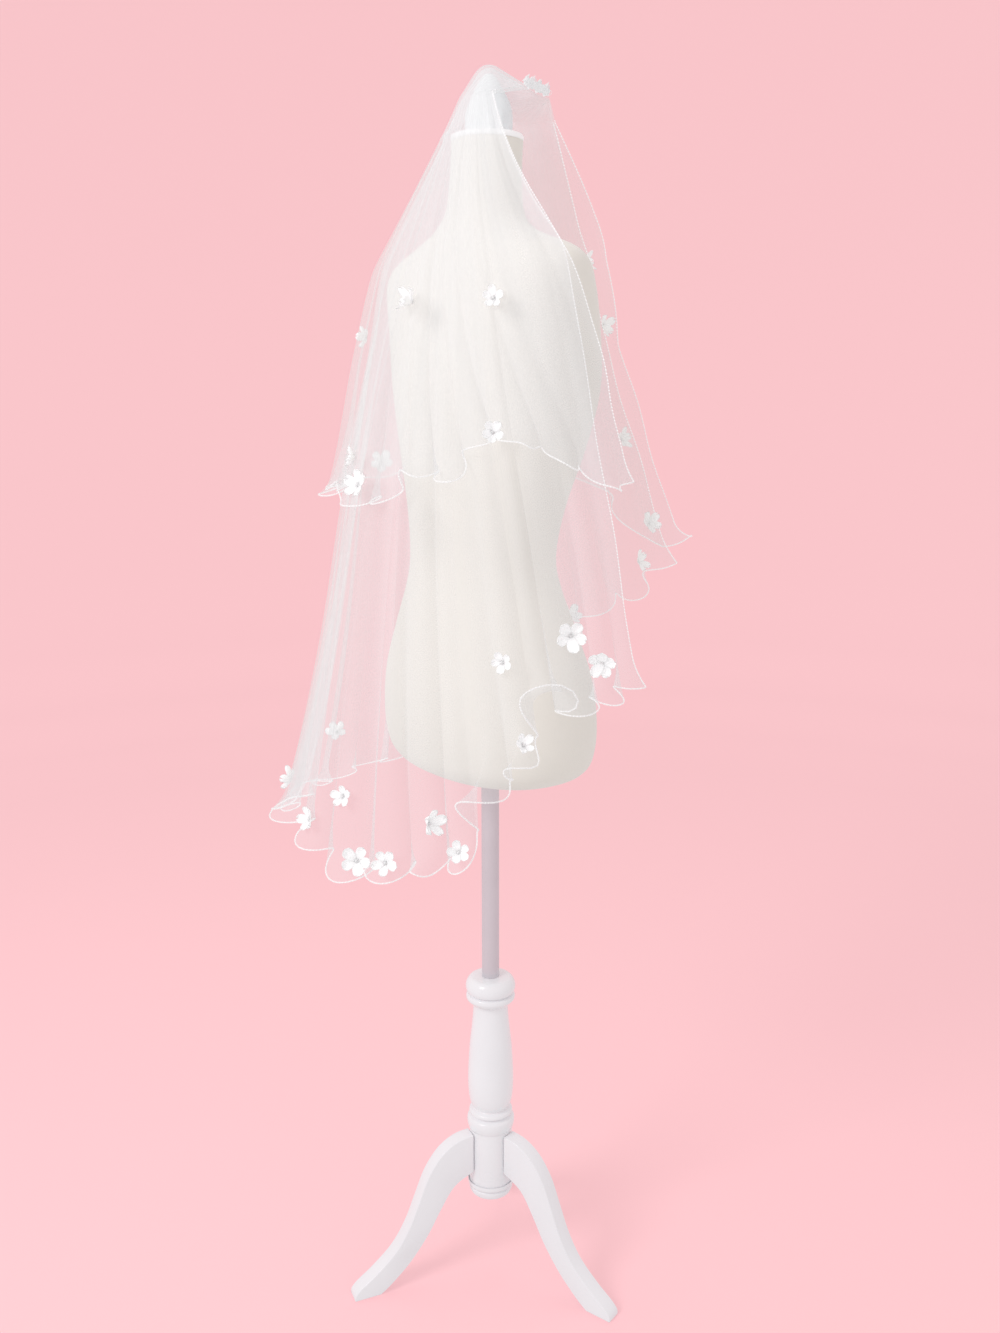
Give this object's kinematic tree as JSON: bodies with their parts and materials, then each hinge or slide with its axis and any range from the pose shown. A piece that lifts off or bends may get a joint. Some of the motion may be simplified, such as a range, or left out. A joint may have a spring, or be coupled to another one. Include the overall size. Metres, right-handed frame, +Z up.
{
  "type": "bridal veil on a dress form",
  "caption": "Two-tier white tulle wedding veil with corded ruffled hems and satin flowers, worn by a limbless dress form on a turned tripod stand.",
  "frame": {"origin": "on the floor, at the middle of the whole part's box seen from above", "axes": "+Z up; the dress form faces -Y, its right shoulder is towards -X"},
  "size_m": [0.5224, 0.5642, 1.6228],
  "materials": {
    "tulle": "matte",
    "satin": "satin",
    "jersey": "matte",
    "cover_cloth": "satin",
    "white_paint": "gloss",
    "pole_paint": "satin"
  },
  "bodies": {
    "root": {"dress_form": "jersey", "neck_band": "cover_cloth", "knob": "cover_cloth", "pole": "pole_paint", "column": "white_paint", "leg_1": "white_paint", "leg_2": "white_paint", "leg_3": "white_paint", "heading": "satin", "lower_tier": "tulle", "upper_tier": "tulle", "lower_hem_cord": "satin", "upper_hem_cord": "satin", "lower_flower_01": "satin", "lower_flower_02": "satin", "lower_flower_03": "satin", "lower_flower_04": "satin", "lower_flower_05": "satin", "lower_flower_06": "satin", "lower_flower_07": "satin", "lower_flower_08": "satin", "lower_flower_09": "satin", "lower_flower_10": "satin", "lower_flower_11": "satin", "lower_flower_12": "satin", "lower_flower_13": "satin", "lower_flower_14": "satin", "lower_flower_15": "satin", "lower_flower_16": "satin", "upper_flower_01": "satin", "upper_flower_02": "satin", "upper_flower_03": "satin", "upper_flower_04": "satin", "upper_flower_05": "satin", "upper_flower_06": "satin", "upper_flower_07": "satin", "upper_flower_08": "satin", "upper_flower_09": "satin", "upper_flower_10": "satin", "upper_flower_11": "satin", "upper_flower_12": "satin"}
  },
  "joints": []
}
